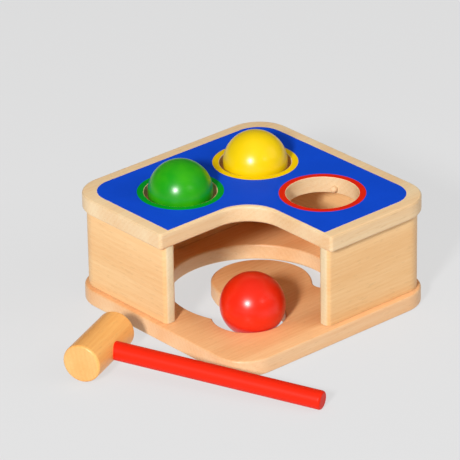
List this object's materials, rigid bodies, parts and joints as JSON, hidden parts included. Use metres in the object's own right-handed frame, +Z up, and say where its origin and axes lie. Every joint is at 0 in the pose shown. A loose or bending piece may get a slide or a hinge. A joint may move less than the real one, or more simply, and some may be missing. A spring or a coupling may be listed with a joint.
{
  "type": "pounding bench",
  "caption": "Wooden pounding bench: balls hammered through a notched top board roll along a widening curved slot to a drop hole; a wooden hammer lies beside it",
  "frame": {"origin": "middle of the square bench on its underside, where it stands on the table", "axes": "+Z up; the cut-away corner of the top board points to -X and -Y, the back corner to +X and +Y"},
  "size_m": [0.2682, 0.2505, 0.1072],
  "materials": {
    "board_beech": "satin",
    "wall_beech": "satin",
    "dowel_beech": "matte",
    "stop_rubber": "matte",
    "blue_lacquer": "satin lacquer",
    "green_lacquer": "gloss lacquer",
    "yellow_lacquer": "gloss lacquer",
    "red_lacquer": "gloss lacquer",
    "green_ball_wood": "gloss lacquer",
    "yellow_ball_wood": "gloss lacquer",
    "red_ball_wood": "gloss lacquer",
    "hammer_beech": "satin",
    "red_handle_wood": "gloss lacquer"
  },
  "bodies": {
    "bench": {"back_left_wall": "wall_beech", "back_left_wall_bottom_dowel_1": "dowel_beech", "back_left_wall_bottom_dowel_2": "dowel_beech", "back_left_wall_bottom_dowel_3": "dowel_beech", "back_left_wall_top_dowel_1": "dowel_beech", "back_left_wall_top_dowel_2": "dowel_beech", "back_left_wall_top_dowel_3": "dowel_beech", "back_right_wall": "wall_beech", "back_right_wall_bottom_dowel_1": "dowel_beech", "back_right_wall_bottom_dowel_2": "dowel_beech", "back_right_wall_bottom_dowel_3": "dowel_beech", "back_right_wall_top_dowel_1": "dowel_beech", "back_right_wall_top_dowel_2": "dowel_beech", "back_right_wall_top_dowel_3": "dowel_beech", "blue_field": "blue_lacquer", "bottom_board": "board_beech", "front_left_wall": "wall_beech", "front_left_wall_bottom_dowel_1": "dowel_beech", "front_left_wall_bottom_dowel_2": "dowel_beech", "front_left_wall_top_dowel_1": "dowel_beech", "front_left_wall_top_dowel_2": "dowel_beech", "front_right_wall": "wall_beech", "front_right_wall_bottom_dowel_1": "dowel_beech", "front_right_wall_bottom_dowel_2": "dowel_beech", "front_right_wall_top_dowel_1": "dowel_beech", "front_right_wall_top_dowel_2": "dowel_beech", "green_hole_ring": "green_lacquer", "green_hole_stop_1": "stop_rubber", "green_hole_stop_2": "stop_rubber", "green_hole_stop_3": "stop_rubber", "red_hole_ring": "red_lacquer", "red_hole_stop_1": "stop_rubber", "red_hole_stop_2": "stop_rubber", "red_hole_stop_3": "stop_rubber", "red_slot_line": "red_lacquer", "top_board": "board_beech", "yellow_field": "yellow_lacquer", "yellow_hole_ring": "yellow_lacquer", "yellow_hole_stop_1": "stop_rubber", "yellow_hole_stop_2": "stop_rubber", "yellow_hole_stop_3": "stop_rubber"},
    "green_ball": {"green_ball": "green_ball_wood"},
    "yellow_ball": {"yellow_ball": "yellow_ball_wood"},
    "red_ball": {"red_ball": "red_ball_wood"},
    "hammer": {"hammer_head": "hammer_beech", "hammer_handle": "red_handle_wood"}
  },
  "joints": [
    {"name": "green_ball_drop", "type": "slide", "parent": "bench", "child": "green_ball", "axis": [0, 0, -1], "range_m": [0, 0.0517], "deforming": ["green_hole_stop_1", "green_hole_stop_2", "green_hole_stop_3"]},
    {"name": "yellow_ball_drop", "type": "slide", "parent": "bench", "child": "yellow_ball", "axis": [0, 0, -1], "range_m": [0, 0.0517], "deforming": ["yellow_hole_stop_1", "yellow_hole_stop_2", "yellow_hole_stop_3"]},
    {"name": "red_ball_lift", "type": "slide", "parent": "bench", "child": "red_ball", "axis": [0, 0, 1], "range_m": [0, 0.11]},
    {"name": "hammer_lift", "type": "slide", "parent": "bench", "child": "hammer", "axis": [0, 0, 1], "range_m": [0, 0.12]}
  ]
}
